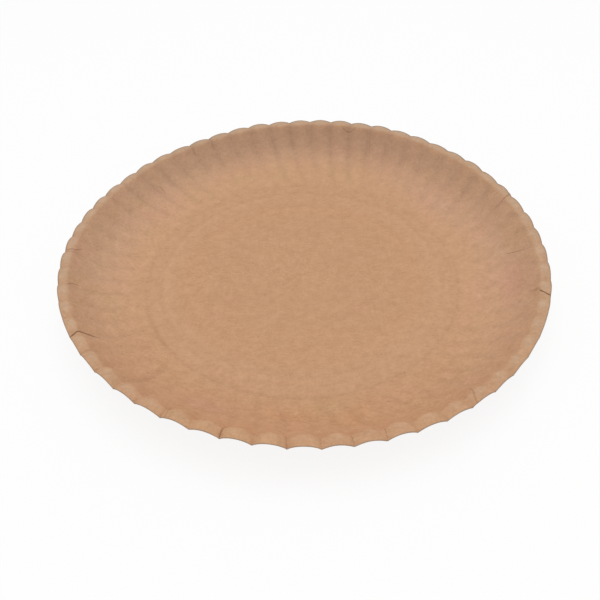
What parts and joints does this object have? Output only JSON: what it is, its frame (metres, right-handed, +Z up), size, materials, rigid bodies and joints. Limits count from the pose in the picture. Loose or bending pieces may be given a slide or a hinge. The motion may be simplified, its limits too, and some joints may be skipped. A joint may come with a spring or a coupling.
{
  "type": "paper plate",
  "caption": "Round disposable plate pressed from a disc of brown board, with a shallow stepped floor, a fluted sloping wall and a narrow scalloped lip.",
  "frame": {"origin": "middle of the flat foot ring, on the surface that the plate stands on", "axes": "+Z up along the plate's axis of symmetry; X and Y are equal, across the plate"},
  "size_m": [0.23, 0.23, 0.0207],
  "materials": {
    "kraft_board": "matt uncoated brown kraft board, faintly fibrous and mottled"
  },
  "bodies": {
    "root": {"plate": "kraft_board"}
  },
  "joints": []
}
